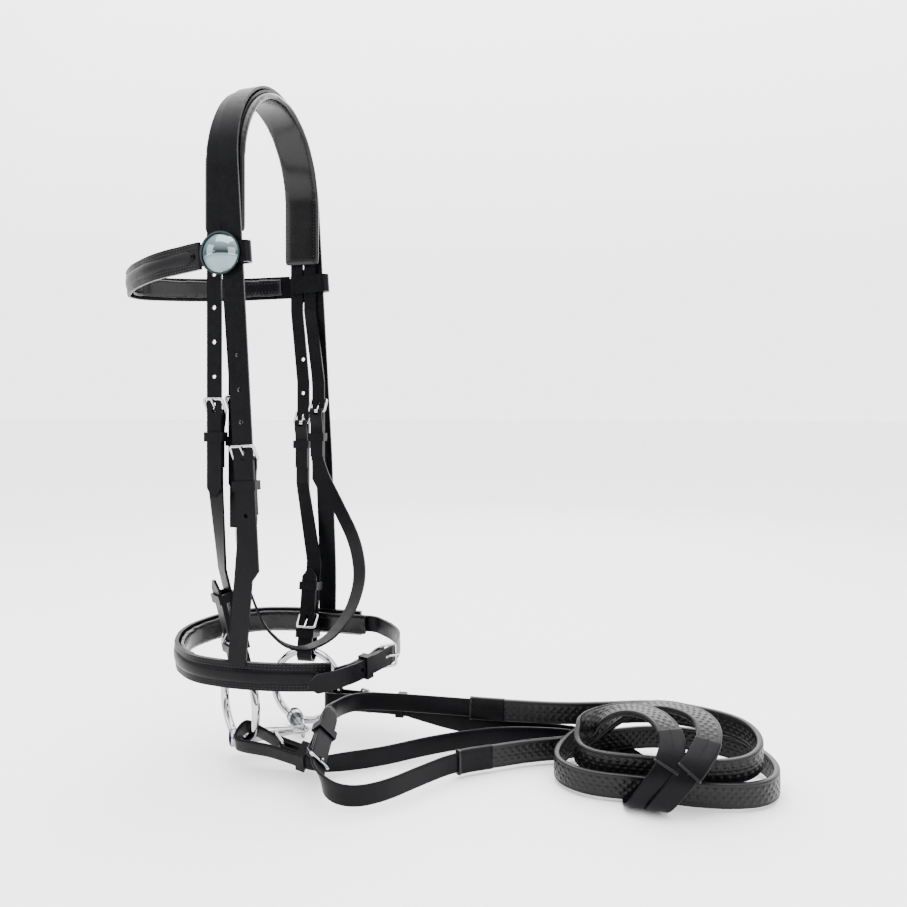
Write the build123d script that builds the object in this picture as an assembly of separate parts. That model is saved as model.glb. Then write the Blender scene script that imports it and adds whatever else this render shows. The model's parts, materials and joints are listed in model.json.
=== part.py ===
from build123d import *
import math
import os

os.makedirs("parts", exist_ok=True)

# ---------------------------------------------------------------- driving sizes (mm)
# +Z is up, -X is towards the muzzle, -Y is the horse's near (left) side.
# The origin is the highest point of the padding's underside, where the bridle rests on the poll.
POLL_RADIUS = 78.0            # inside of the crown arch, half the width of the head
GAP = 0.3                     # air between separate pieces
PAD = 7.0                     # crown padding
LEATHER = 2.2                 # billets and cheek straps
FOLD = 2.0                    # leather folded round a buckle bar
WIRE = 1.3                    # radius of a buckle's wire
PRONG = 1.0                   # radius of a prong
CHEEK_WIDTH = 13.0
SLIPHEAD_WIDTH = 17.5
REIN_WIDTH = 16.5
REIN_THICKNESS = 3.4
CHEEK_X = -4.0                # centre line of the cheek billets where they leave the crown
THROAT_X = 10.5               # centre line of the throat billets there
BROW_Z = -155.0
THROAT_BUCKLE_Z = -286.0
FLOOR_Z = -597.0              # the reins lie just above this level
REIN_Z = FLOOR_Z + 12.0       # middle of a rein that stands on its edge
EDGE_Z = FLOOR_Z + 8.5        # the same where another rein passes over it
PRONG_SWING = 20.0            # degrees that a prong lifts, which its crew hole leaves room for

# The bit: two loose rings and a single-jointed mouthpiece folded into a V
RING_RADIUS = 34.5            # to the middle of the wire
RING_WIRE = 3.5
NEAR_RING = Vector(-2.9, -42.6, -545.2)
OFF_RING = Vector(22.5, 49.3, -557.5)
NEAR_RING_TURN = -40.0        # degrees that the near ring's axis is turned from +Y
OFF_RING_TURN = 0.0
BIT_JOINT = Vector(40.0, -1.0, -581.5)
EYE_RADIUS = 7.5
EYE_WIRE = 1.25
EYE_BACK = 3.7                # each eye's centre stands this far short of the joint

UP = Vector(0, 0, 1)
BACK = Vector(1, 0, 0)

# Distances outward from the middle of a buckle's bar
FOLD_CENTRE = WIRE + 0.2 + FOLD / 2
BILLET_CENTRE = FOLD_CENTRE + FOLD / 2 + GAP + LEATHER / 2
EDGE_BAR = BILLET_CENTRE + LEATHER / 2 + GAP + WIRE
FRAME_REACH = 12.0            # along the strap from the bar to the frame's far edge

BILLET_RADIUS = POLL_RADIUS + PAD + 0.2 + LEATHER / 2
CROWN_SIDE = 50.0             # how far the unsplit crown runs down each side of the head
SLIPHEAD_RADIUS = BILLET_RADIUS + LEATHER + 0.8   # clears the crown although it leans


def save(shape, name):
    """Write one sub-part to its own STEP file."""
    export_step(shape, f"parts/{name}.step")


def vectors(points):
    """Plain triples made into vectors."""
    return [Vector(*point) if isinstance(point, tuple) else point for point in points]


def corner_radii(points, share=0.45):
    """For each corner, the largest arc that a share of its shorter run allows."""
    radii = []
    for before, corner, after in zip(points, points[1:], points[2:]):
        first, second = corner - before, after - corner
        turn = math.radians(first.get_angle(second))
        radii.append(share * min(first.length, second.length) / math.tan(turn / 2))
    return radii


def smooth_path(points):
    """Straight runs joined by tangent arcs, each as large as its two runs allow."""
    points = vectors(points)
    return FilletPolyline(*points, radius=corner_radii(points))


def strap_side(flat, radii, shift):
    """One face of a strap seen edge on: its centre line moved sideways by `shift`."""
    runs = [(end - start).normalized() for start, end in zip(flat, flat[1:])]
    normals = [Vector(-run.Y, run.X, 0) for run in runs]
    points = [flat[0] + normals[0] * shift]
    side_radii = []
    for place, radius in enumerate(radii):
        before, after = normals[place], normals[place + 1]
        mitre = (before + after) * (shift / (1 + before.dot(after)))
        points.append(flat[place + 1] + mitre)
        left_turn = math.copysign(1.0, runs[place].cross(runs[place + 1]).Z)
        side_radii.append(radius - left_turn * shift)
    points.append(flat[-1] + normals[-1] * shift)
    if radii:
        return FilletPolyline(*points, radius=side_radii)
    return Line(*points)


def strap(points, width_axis, width, thickness, shift=0.0):
    """A flat strap whose route lies in the plane square to its width.

    A shift moves the leather to one side of the route and keeps it parallel to it.
    """
    points = vectors(points)
    plane = Plane(origin=points[0], z_dir=width_axis)
    flat = [plane.to_local_coords(point) for point in points]
    radii = corner_radii(flat)
    left = strap_side(flat, radii, shift + thickness / 2)
    right = strap_side(flat, radii, shift - thickness / 2)
    outline = [*left.edges(), *right.edges(), Line(left @ 0, right @ 0), Line(left @ 1, right @ 1)]
    return plane * extrude(make_face(outline), width / 2, both=True)


def lengthened(points, start, end):
    """A route whose first and last runs are made longer, or shorter by a negative amount."""
    first = (points[0] - points[1]).normalized()
    last = (points[-1] - points[-2]).normalized()
    return [points[0] + first * start] + points[1:-1] + [points[-1] + last * end]


def local(station, width=0.0, along=0.0, outward=0.0):
    """A point given in a buckle's own directions: across, along and outward."""
    return (station.origin + station.x_dir * width + station.y_dir * along
            + station.z_dir * outward)


def block(station, across, along, outward):
    """A box between limits given in a buckle's own directions."""
    size = [high - low for low, high in (across, along, outward)]
    middle = [(high + low) / 2 for low, high in (across, along, outward)]
    return station * Pos(*middle) * Box(*size)


def tip_cut(station, tip, width, point=9.0, depth=30.0, outward=0.0):
    """What is cut from the end of a strap to leave a blunt point at the distance `tip`."""
    direction = math.copysign(1.0, tip)
    shoulder = tip - direction * point
    cuts = Part()
    for side in (-1, 1):
        corner = Polyline(
            (side * width * 0.14, tip + direction * 0.01),
            (side * width * 0.55, shoulder),
            (side * width, shoulder),
            (side * width, tip + direction * 3),
            (side * width * 0.14, tip + direction * 3),
            close=True,
        )
        wedge = extrude(station * Pos(0, 0, outward) * make_face(corner), depth / 2, both=True)
        cuts += wedge
    return cuts


def holes(station, places, outward, radius=1.9, depth=4.0):
    """Punched holes at distances along a strap."""
    cuts = Part()
    for along in places:
        cuts += station * Pos(0, along, outward) * Cylinder(radius, depth)
    return cuts


def prong_slot(station):
    """The long crew hole through a billet, as long as the prong's swing needs."""
    start, finish, half_width = 0.4, 8.6, PRONG + 0.5
    return block(station, (-half_width, half_width), (start, finish),
                 (BILLET_CENTRE - LEATHER, BILLET_CENTRE + LEATHER))


def bar_slot(station):
    """The opening in a folded strap where the prong's eye sits on the bar."""
    return block(station, (-2.1, 2.1), (-3.4, 6.0), (-5.0, 5.0))


def buckle_frame(station, strap_width):
    """A rectangular wire frame, tilted so that its far edge lies over the billet."""
    tilt = math.degrees(math.atan2(EDGE_BAR, FRAME_REACH))
    reach = math.hypot(EDGE_BAR, FRAME_REACH)
    across = strap_width + 2 * (0.5 + WIRE)
    plane = station * Rot(tilt, 0, 0) * Pos(0, reach / 2, 0)
    outline = (plane * RectangleRounded(across, reach, 2.4)).face().outer_wire()
    section = Plane(origin=outline @ 0, z_dir=outline % 0) * Circle(WIRE)
    return sweep(section, path=outline)


def prong(station):
    """An eye that turns on the bar, and a finger that rests over the frame's far edge."""
    reach = math.hypot(EDGE_BAR, FRAME_REACH)
    lift = math.atan2(EDGE_BAR, FRAME_REACH) + math.asin((WIRE + PRONG + 0.15) / reach)
    eye = Cylinder(WIRE + 1.1, 3.0) - Cylinder(WIRE + 0.05, 4.0)
    eye = station * Rot(0, 90, 0) * eye
    start, end = WIRE + 0.7, reach + 2.0
    finger = Pos(0, 0, (start + end) / 2) * Cylinder(PRONG, end - start)
    finger += Pos(0, 0, end) * Sphere(PRONG)
    finger = station * Rot(math.degrees(lift) - 90, 0, 0) * finger
    return eye + finger


def keeper(station, along, strap_width, inner, outer, length=8.0, wall=1.5):
    """A closed loop of leather round the layers between two outward limits."""
    half = strap_width / 2 + GAP
    low, high = along - length / 2, along + length / 2
    shell = block(station, (-half - wall, half + wall), (low, high),
                  (inner - GAP - wall, outer + GAP + wall))
    return shell - block(station, (-half, half), (low - 1, high + 1), (inner - GAP, outer + GAP))


def bar_fold(station):
    """Route of a strap that comes from below, goes round the bar and ends behind itself."""
    return [local(station, along=-46, outward=0.2),
            local(station, along=-13, outward=0.2),
            local(station, along=-5, outward=-FOLD_CENTRE),
            local(station, along=FOLD_CENTRE, outward=-FOLD_CENTRE),
            local(station, along=FOLD_CENTRE, outward=FOLD_CENTRE)]


def folded_strap(station, rest_of_route, width):
    """A strap folded round a bar; the rest of its route starts outside the bar."""
    fold = bar_fold(station)
    inner = strap(fold[:3] + [local(station, outward=-FOLD_CENTRE)], station.x_dir, width, FOLD)
    turn = half_turn(station, width)
    outer = strap([local(station, outward=FOLD_CENTRE)] + rest_of_route, station.x_dir, width, FOLD)
    return inner + turn + outer - bar_slot(station)


def half_turn(station, width, radius=FOLD_CENTRE, thickness=FOLD, along=0.0, direction=1):
    """Half a tube of leather round a bar or a ring."""
    tube = Cylinder(radius + thickness / 2, width) - Cylinder(radius - thickness / 2, width + 2)
    tube = station * Pos(0, along, 0) * Rot(0, 90, 0) * tube
    far = along + direction * (radius + thickness)
    near_limit, far_limit = min(along, far), max(along, far)
    span = radius + thickness
    return tube & block(station, (-width, width), (near_limit, far_limit), (-span, span))


def ring_loop(station, width, tip, ring_along, thickness=LEATHER, slack=1.5, spread=None,
              main_length=60.0):
    """The end of a strap: down behind the bar, round a bit ring and back out to its tip."""
    spread = spread or BILLET_CENTRE
    across = station.x_dir
    turn_along = ring_along + slack

    def run(side, far):
        points = [local(station, along=far, outward=side * BILLET_CENTRE)]
        if spread > BILLET_CENTRE:
            points += [local(station, along=15, outward=side * BILLET_CENTRE),
                       local(station, along=25, outward=side * spread)]
        points.append(local(station, along=turn_along, outward=side * spread))
        return strap(points, across, width, thickness)

    tail = run(1, tip) - tip_cut(station, tip, width, outward=BILLET_CENTRE)
    tail -= prong_slot(station)
    turn = half_turn(station, width, spread, thickness, turn_along)
    return tail + turn + run(-1, -main_length)


def chape(station, width, length=24.0):
    """The short folded piece that holds a buckle's bar on a strap."""
    runs = Part()
    for side in (-1, 1):
        runs += strap([local(station, along=-length, outward=side * FOLD_CENTRE),
                       local(station, outward=side * FOLD_CENTRE)], station.x_dir, width, FOLD)
    return runs + half_turn(station, width) - bar_slot(station)


def heading(degrees):
    """A level unit vector turned from +Y towards -X."""
    angle = math.radians(degrees)
    return Vector(-math.sin(angle), math.cos(angle), 0)


# ---------------------------------------------------------------- stations of the buckles
def side_station(side, x, z, bar_y, lean=0.0):
    """A buckle on the side of the head: across is level, along is up, outward is sideways."""
    up = Vector(-math.sin(math.radians(lean)), 0, math.cos(math.radians(lean)))
    outward = Vector(0, side, 0)
    return Plane(origin=(x, side * bar_y, z), x_dir=up.cross(outward), z_dir=outward)


def hanging_station(ring_top, outward, lean, above):
    """A buckle above a bit ring, along the strap that leans away from the ring's top."""
    lean = math.radians(lean)
    up = UP * math.cos(lean) + outward * math.sin(lean)
    down = up * -1
    face = (outward - up * outward.dot(up)).normalized()
    return Plane(origin=ring_top + up * above, x_dir=down.cross(face), z_dir=face)


SIDES = {"near": -1, "off": 1}
CHEEK_BAR_Y = BILLET_RADIUS - BILLET_CENTRE
CHEEK_BUCKLE_X = {"near": -4.0, "off": 3.0}
CHEEK_BUCKLE_Z = {"near": -288.0, "off": -298.0}
CHEEK_STATION = {
    name: side_station(side, CHEEK_BUCKLE_X[name], CHEEK_BUCKLE_Z[name], CHEEK_BAR_Y)
    for name, side in SIDES.items()
}
THROAT_BAR_Y = CHEEK_BAR_Y - 13.0   # the throat straps hang inside the cheek straps
THROAT_BUCKLE_X = {"near": 9.0, "off": 25.0}
THROAT_STATION = {
    name: side_station(side, THROAT_BUCKLE_X[name], THROAT_BUCKLE_Z, THROAT_BAR_Y)
    for name, side in SIDES.items()
}
SLIPHEAD_LEAN = 3.2
SLIPHEAD_X = 6.0              # centre line of the sliphead on the poll
NOSEBAND_BUCKLE_DROP = 328.0  # down the sliphead from the poll

BIT_BUCKLE_ABOVE = 35.0
BIT_LEAN = {"near": 14.0, "off": -9.0}
BIT_WIDTH = 15.0
BIT_LOOP_SPREAD = 6.4         # half the distance between the layers that hold the ring
BIT_LOOP_SLACK = 3.0
near_out = heading(NEAR_RING_TURN) * -1
RING_TOP = {
    "near": NEAR_RING + UP * RING_RADIUS,
    "off": OFF_RING + UP * RING_RADIUS,
}
BIT_STATION = {
    "near": hanging_station(RING_TOP["near"], near_out, BIT_LEAN["near"], BIT_BUCKLE_ABOVE),
    "off": hanging_station(RING_TOP["off"], Vector(0, -1, 0), BIT_LEAN["off"], BIT_BUCKLE_ABOVE),
}


# ---------------------------------------------------------------- the head
def arch(radius, side_length_near, side_length_off, width, thickness, x, lean=0.0):
    """A strap over the poll: two straight sides joined by a half circle of the crown's centre."""
    centre = Vector(x, 0, 0)
    down = Vector(math.sin(math.radians(lean)), 0, -math.cos(math.radians(lean)))
    across = Vector(0, 1, 0).cross(down)
    plane = Plane(origin=centre, x_dir=(0, 1, 0), z_dir=across)
    level = plane.to_local_coords(centre + down * POLL_RADIUS).Y
    sense = math.copysign(1.0, level)
    top = plane * Pos(0, level, 0)
    ring = Circle(radius + thickness / 2) - Circle(radius - thickness / 2)
    ring &= Pos(0, -sense * radius, 0) * Rectangle(4 * radius, 2 * radius)
    for side, length in ((-1, side_length_near), (1, side_length_off)):
        ring += Pos(side * radius, sense * length / 2, 0) * Rectangle(thickness, length)
    return top * extrude(ring, width / 2, both=True)


def arch_side(z, lean=0.0):
    """How far a strap's straight side runs, from the crown's centre level to a height."""
    return (-POLL_RADIUS - z) / math.cos(math.radians(lean))


def billet(station, tail, top, hole_places):
    """A billet that hangs straight down through its buckle to a blunt tip."""
    start = local(station, along=top, outward=BILLET_CENTRE)
    end = local(station, along=-tail, outward=BILLET_CENTRE)
    shape = strap([start, end], station.x_dir, CHEEK_WIDTH, LEATHER)
    shape -= tip_cut(station, -tail, CHEEK_WIDTH, outward=BILLET_CENTRE)
    return shape - prong_slot(station) - holes(station, hole_places, BILLET_CENTRE)


def slanting_billet(station, side, top_x, tail, hole_places):
    """A billet that leaves the crown, slants over to its buckle's line and hangs from there."""
    crown_foot, slant_top, slant_foot = -POLL_RADIUS - CROWN_SIDE + 1, -182.0, -256.0
    upper = Box(CHEEK_WIDTH, LEATHER, crown_foot - slant_top)
    shape = Pos(top_x, side * BILLET_RADIUS, (crown_foot + slant_top) / 2) * upper
    drop = slant_foot - station.origin.Z
    foot = local(station, along=drop, outward=BILLET_CENTRE)
    section = Rectangle(CHEEK_WIDTH, LEATHER)
    first = Plane(origin=(top_x, side * BILLET_RADIUS, slant_top), z_dir=(0, 0, -1))
    second = Plane(origin=foot, z_dir=(0, 0, -1))
    shape += loft([first * section, second * section])
    return shape + billet(station, tail, drop, hole_places)


def headpiece():
    """The crown strap, split at each side into a cheek billet and a throat billet."""
    width = THROAT_X - CHEEK_X + CHEEK_WIDTH
    crown = arch(BILLET_RADIUS, CROWN_SIDE, CROWN_SIDE, width, LEATHER, (THROAT_X + CHEEK_X) / 2)
    cheek_tails = {"near": 71, "off": 80}
    throat_tails = {"near": 70, "off": 77}
    for name, side in SIDES.items():
        cheek, throat = CHEEK_STATION[name], THROAT_STATION[name]
        crown += slanting_billet(cheek, side, CHEEK_X, cheek_tails[name], (31,))
        crown += slanting_billet(throat, side, THROAT_X, throat_tails[name], (-30,))
    crown -= holes(CHEEK_STATION["near"], (60, 89, 117), BILLET_CENTRE)
    return crown - holes(CHEEK_STATION["off"], (66,), BILLET_CENTRE)


def headpiece_padding():
    """The thick soft lining under the crown."""
    side = arch_side(-136)
    return arch(POLL_RADIUS + PAD / 2, side, side, 38, PAD, (THROAT_X + CHEEK_X) / 2)


def noseband_sliphead():
    """The noseband's own strap over the poll, with its billet on the near side."""
    near = arch_side(-428, SLIPHEAD_LEAN)
    off = arch_side(-330, SLIPHEAD_LEAN)
    band = arch(SLIPHEAD_RADIUS, near, off, SLIPHEAD_WIDTH, LEATHER, SLIPHEAD_X, SLIPHEAD_LEAN)
    station = NOSEBAND_STATION
    tip = -near + (NOSEBAND_BUCKLE_DROP - POLL_RADIUS)
    band -= tip_cut(station, tip, SLIPHEAD_WIDTH, outward=BILLET_CENTRE)
    band -= prong_slot(station)
    band -= holes(station, (88, 59, 32, -46), BILLET_CENTRE)
    down = Vector(math.sin(math.radians(SLIPHEAD_LEAN)), 0, -math.cos(math.radians(SLIPHEAD_LEAN)))
    origin = Vector(SLIPHEAD_X, 0, 0) + down * POLL_RADIUS
    across = Vector(0, 1, 0).cross(down)
    knee = origin + down * (off - 1) + Vector(0, SLIPHEAD_RADIUS, 0)
    lower = origin + down * 372 + Vector(0, 84, 0)
    foot = origin + down * 414 + Vector(0, 76.6, 0)
    return band + strap([knee, lower, foot], across, SLIPHEAD_WIDTH, LEATHER)


def sliphead_station():
    """The noseband's buckle, on the near side along the leaning sliphead."""
    lean = math.radians(SLIPHEAD_LEAN)
    down = Vector(math.sin(lean), 0, -math.cos(lean))
    outward = Vector(0, -1, 0)
    origin = (Vector(SLIPHEAD_X, 0, 0) + down * NOSEBAND_BUCKLE_DROP
              + outward * (SLIPHEAD_RADIUS - BILLET_CENTRE))
    return Plane(origin=origin, x_dir=(down * -1).cross(outward), z_dir=outward)


NOSEBAND_STATION = sliphead_station()

BROW_WIDTH = 23.0
BROW_THICKNESS = 2.8
BROW_LOOP_INNER = BILLET_RADIUS - LEATHER / 2 - GAP
BROW_LOOP_OUTER = SLIPHEAD_RADIUS + LEATHER / 2 + GAP
BROW_FRONT = -138.0
BROW_DIP = 3.9                # degrees that the browband dips towards the forehead


def dipped(shape):
    """A piece of the browband turned down towards the forehead about the headpiece."""
    return Pos(0, 0, BROW_Z) * Rot(0, -BROW_DIP, 0) * Pos(0, 0, -BROW_Z) * shape


def brow_curve(half_width, front):
    """The forehead curve of the browband from the near temple to the off temple."""
    near_half = [(-14, -half_width), (-68, -half_width * 0.80), (-112, -half_width * 0.45)]
    off_half = [(x, -y) for x, y in reversed(near_half)]
    return near_half + [(front, -half_width * 0.12), (front, half_width * 0.12)] + off_half


def browband():
    """The forehead strap with a flat loop round the headpiece at each end."""
    inner = BROW_LOOP_INNER - BROW_THICKNESS / 2
    outer = BROW_LOOP_OUTER + BROW_THICKNESS / 2
    rear = 29.0
    loop_height = 18.0
    shape = Part()
    curve = [(x, y, BROW_Z) for x, y in brow_curve(outer, BROW_FRONT)]
    shape += strap(curve, UP, BROW_WIDTH, BROW_THICKNESS)
    for side in (-1, 1):
        radius = (outer - inner) / 2
        centre_x = rear - radius
        station = Plane(origin=(centre_x, side * (outer + inner) / 2, BROW_Z),
                        x_dir=(0, 0, 1), z_dir=(0, side, 0))
        sense = station.to_local_coords(Vector(rear, side * (outer + inner) / 2, BROW_Z)).Y
        shape += half_turn(station, loop_height, radius, BROW_THICKNESS, 0, math.copysign(1, sense))
        for run_y, front in ((inner, -9.0), (outer, -15.0)):
            run = Box(centre_x - front, BROW_THICKNESS, loop_height)
            shape += Pos((centre_x + front) / 2, side * run_y, BROW_Z) * run
    return dipped(shape)


def browband_lining():
    """The padded lining along the inside of the browband."""
    thickness = 4.0
    outer = BROW_LOOP_OUTER + BROW_THICKNESS / 2
    curve = vectors([(x, y, BROW_Z) for x, y in brow_curve(outer, BROW_FRONT)])
    inward = BROW_THICKNESS / 2 + GAP + thickness / 2
    return dipped(strap(lengthened(curve, -8, -8), UP, 19.0, thickness, shift=-inward))


def browband_buttons():
    """A domed metal button on each end of the browband."""
    radius, height = 17.5, 11.0
    ball = (radius ** 2 + height ** 2) / (2 * height)
    base = BROW_LOOP_OUTER + BROW_THICKNESS + GAP
    dome = Pos(0, 0, height - ball) * Sphere(ball)
    dome &= Pos(0, 0, height) * Cylinder(radius + 1, 2 * height)
    rim = Pos(0, 0, 0.8) * Cylinder(radius + 0.6, 1.6)
    button = dome + rim
    shape = Part()
    for side in (-1, 1):
        shape += Pos(5.5, side * base, BROW_Z) * Rot(-90 * side, 0, 0) * button
    return dipped(shape)


# ---------------------------------------------------------------- the noseband
NOSE_TILT = 5.5               # the off side sits a little higher
NOSE_Z = -505.0
NOSE_WIDTH = 24.0
NOSE_THICKNESS = 3.6
NOSE_FRONT = -80.0
nose_plane = Plane(origin=(0, 0, NOSE_Z)).rotated((NOSE_TILT, 0, 0))


def on_nose(x, y, z=0.0):
    """A point given in the noseband's own tilted plane."""
    return nose_plane.from_local_coords(Vector(x, y, z))


def nose_curve(half_width, front, near_end, off_end):
    """The curve of the noseband from its near end, round the nose, to its off end."""
    near = [(near_end, -half_width * 0.86), (48, -half_width * 0.98), (5, -half_width),
            (-38, -half_width * 0.90), (-68, -half_width * 0.56)]
    off = [(-68, half_width * 0.56), (-38, half_width * 0.90), (5, half_width),
           (off_end, half_width * 0.97)]
    middle = [(front, -half_width * 0.15), (front, half_width * 0.15)]
    return [on_nose(x, y) for x, y in near + middle + off]


def noseband():
    """The stitched outer leather of the noseband."""
    curve = nose_curve(73, NOSE_FRONT, 92, 72)
    return strap(curve, nose_plane.z_dir, NOSE_WIDTH, NOSE_THICKNESS)


def noseband_padding():
    """The soft lining inside the noseband, a little longer than the outer leather."""
    thickness = 5.0
    curve = lengthened(nose_curve(73, NOSE_FRONT, 92, 72), -4, 7)
    inward = NOSE_THICKNESS / 2 + GAP + thickness / 2
    return strap(curve, nose_plane.z_dir, 21.0, thickness, shift=-inward)


CHIN_DIRECTION = Vector(0.36, 0.93, 0).normalized()
chin_up = nose_plane.from_local_coords(CHIN_DIRECTION) - nose_plane.origin
chin_face = chin_up.cross(nose_plane.z_dir)
CHIN_STATION = Plane(origin=on_nose(119, -12), x_dir=nose_plane.z_dir * -1, z_dir=chin_face)
CHIN_WIDTH = 16.0


def chin_chape():
    """The strap from the noseband's near end to the chin buckle's bar."""
    rest = [local(CHIN_STATION, along=-34, outward=FOLD_CENTRE), on_nose(94.5, -62.6)]
    return folded_strap(CHIN_STATION, rest, CHIN_WIDTH)


def chin_strap():
    """The strap from the noseband's off end through the chin buckle to its loose tip."""
    start = [on_nose(74, 71.2), on_nose(88, 70), on_nose(110, 52), on_nose(124, 32)]
    straight = [local(CHIN_STATION, along=16, outward=BILLET_CENTRE),
                local(CHIN_STATION, along=-40, outward=BILLET_CENTRE)]
    end = [on_nose(94, -72), on_nose(79, -84)]
    shape = strap(start + straight + end, nose_plane.z_dir, CHIN_WIDTH, LEATHER)
    tip_run = (end[1] - end[0]).normalized()
    tip = Plane(origin=end[1], x_dir=nose_plane.z_dir, z_dir=nose_plane.z_dir.cross(tip_run))
    shape -= tip_cut(tip, 0.0, CHIN_WIDTH)
    shape -= prong_slot(CHIN_STATION)
    return shape - holes(CHIN_STATION, (-32,), BILLET_CENTRE)


def near_noseband_cheek():
    """The near cheek strap of the noseband, from its buckle down to the noseband."""
    station = NOSEBAND_STATION
    width, reach = 16.5, 50.0
    upper = folded_strap(station, [local(station, along=-reach, outward=FOLD_CENTRE)], width)
    first = Plane(origin=local(station, along=-reach, outward=FOLD_CENTRE),
                  x_dir=station.x_dir, z_dir=station.y_dir * -1)
    foot = Plane(origin=on_nose(12, -76.2, 11), x_dir=BACK, z_dir=(-0.08, 0.1, -1))
    return upper + loft([first * Rectangle(width, FOLD), foot * Rectangle(width, FOLD)])


# ---------------------------------------------------------------- cheekpieces and throatlatch
def cheekpiece(name):
    """From the top buckle down, turning to face the bit ring, and round the ring."""
    top, bottom = CHEEK_STATION[name], BIT_STATION[name]
    reach = 62.0
    upper = folded_strap(top, [local(top, along=-reach, outward=FOLD_CENTRE)], CHEEK_WIDTH)
    lower = ring_loop(bottom, BIT_WIDTH, -45, BIT_BUCKLE_ABOVE, slack=BIT_LOOP_SLACK,
                      spread=BIT_LOOP_SPREAD, main_length=52)
    first = Plane(origin=local(top, along=-reach, outward=FOLD_CENTRE),
                  x_dir=BACK, z_dir=(0, 0, -1))
    second_x = bottom.x_dir if bottom.x_dir.X > 0 else bottom.x_dir * -1
    second = Plane(origin=local(bottom, along=-52, outward=-BILLET_CENTRE),
                   x_dir=second_x, z_dir=bottom.y_dir)
    middle = loft([first * Rectangle(CHEEK_WIDTH, FOLD), second * Rectangle(BIT_WIDTH, LEATHER)])
    return upper + middle + lower


def throatlatch():
    """The long loop under the throat, with a fold round a buckle's bar at each end."""
    near, off = THROAT_STATION["near"], THROAT_STATION["off"]
    near_end = local(near, along=-100, outward=FOLD_CENTRE)
    off_end = local(off, along=-50, outward=FOLD_CENTRE)
    loop = [off_end + UP, off_end - UP * 16 + BACK * 6, (47, 69, -380), (69, 61, -415),
            (83, 38, -446), (84, 6, -472), (74, -24, -490), (58, -42, -496),
            (43, -52, -490), (28, -60, -472), (16, -66, -436), near_end - UP * 14, near_end + UP]
    route = smooth_path(loop)
    section = Plane(origin=route @ 0, x_dir=BACK, z_dir=route % 0) * Rectangle(CHEEK_WIDTH, FOLD)
    shape = sweep(section, path=route)
    shape += folded_strap(near, [near_end], CHEEK_WIDTH)
    return shape + folded_strap(off, [off_end], CHEEK_WIDTH)


# ---------------------------------------------------------------- the bit
def ring_plane(centre, turn):
    """A plane through a bit ring's centre, square to its axis."""
    return Plane(origin=centre, x_dir=heading(turn - 90), z_dir=heading(turn))


def bit_ring(centre, turn, wire=RING_WIRE):
    """A round wire ring."""
    return ring_plane(centre, turn) * Torus(RING_RADIUS, wire)


def wire_point(centre, turn, degrees):
    """A point on the ring's wire, below the level of its centre, towards local +X."""
    plane = ring_plane(centre, turn)
    angle = math.radians(degrees)
    return centre + plane.x_dir * RING_RADIUS * math.cos(angle) - UP * RING_RADIUS * math.sin(angle)


def canon(start, centre, turn, eye_level):
    """Half a mouthpiece: a butt bored for the ring, a tapered bar and a jointing eye."""
    axis = (BIT_JOINT - start).normalized()
    length = (BIT_JOINT - start).length - EYE_BACK
    plane = Plane(origin=start, x_dir=UP.cross(axis), z_dir=axis)
    neck = length - EYE_RADIUS + 1
    profile = Polyline((0, -6.5), (6.2, -6.5), (7.6, -5.2), (7.6, 5.5), (6.0, 10.0),
                       (5.2, length * 0.55), (3.2, neck), (0, neck), close=True)
    body = revolve(Plane.XZ * make_face(profile), Axis.Z)
    tilt = Rot(90, 0, 0) if eye_level else Rot(0, 90, 0)
    eye = Pos(0, 0, length) * tilt * Torus(EYE_RADIUS, EYE_WIRE)
    return plane * (body + eye) - bit_ring(centre, turn, RING_WIRE + 0.6)


# ---------------------------------------------------------------- the reins
def rein_station(origin, direction, outward):
    """A buckle on a rein that stands on its edge; `along` points to the strap's free end."""
    return Plane(origin=origin, x_dir=Vector(*direction).cross(Vector(*outward)), z_dir=outward)


NEAR_REIN_WIRE = wire_point(NEAR_RING, NEAR_RING_TURN, 48)
near_rein_away = Vector(0.96, -0.02, -0.22).normalized()
wire_run = (wire_point(NEAR_RING, NEAR_RING_TURN, 49) - NEAR_REIN_WIRE).normalized()
near_rein_across = (wire_run - near_rein_away * wire_run.dot(near_rein_away)).normalized()
NEAR_REIN_REACH = 32.0
NEAR_REIN_STATION = Plane(origin=NEAR_REIN_WIRE + near_rein_away * NEAR_REIN_REACH,
                          x_dir=near_rein_across,
                          z_dir=near_rein_across.cross(near_rein_away * -1))
OFF_REIN_WIRE = wire_point(OFF_RING, OFF_RING_TURN, 20)
OFF_REIN_STATION = rein_station(OFF_REIN_WIRE + BACK * 34, (-1, 0, 0), (0, 1, 0))
centre_along = Vector(0.17, -0.93, -0.33).normalized()
centre_level = centre_along.cross(UP).normalized() * -1
centre_upward = centre_along.cross(centre_level)
CENTRE_STATION = rein_station((84, -78, -572), centre_along,
                              centre_level * 0.77 + centre_upward * 0.64)
BUNDLE_EDGE = 282.0
REIN_END = BUNDLE_EDGE - 2.0

near_bit_route = [(98, -46, EDGE_Z), (126, -28, EDGE_Z), (160, -2, REIN_Z),
                  (194, 20, REIN_Z), (226, 36, REIN_Z), (REIN_END, 46, REIN_Z)]
off_bit_route = [(136, 51, -575), (180, 51, REIN_Z), (226, 52, REIN_Z), (REIN_END, 55, REIN_Z)]
near_hand_route = [(73, -12, -559), (75, 14, -561), (86, 33, -563), (110, 37, -563),
                   (150, 38, -563), (190, 38, -563)]
off_hand_route = [(104, -110, -584), (128, -118, REIN_Z), (150, -102, REIN_Z),
                  (170, -68, REIN_Z), (192, -34, REIN_Z)]
near_grip_route = [(191, 38, -563), (236, 39, -563), (REIN_END, 43, -563)]
off_grip_route = [(192.6, -33.1, REIN_Z), (222, -14, REIN_Z), (252, 6, REIN_Z),
                  (REIN_END, 18, REIN_Z)]


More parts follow.
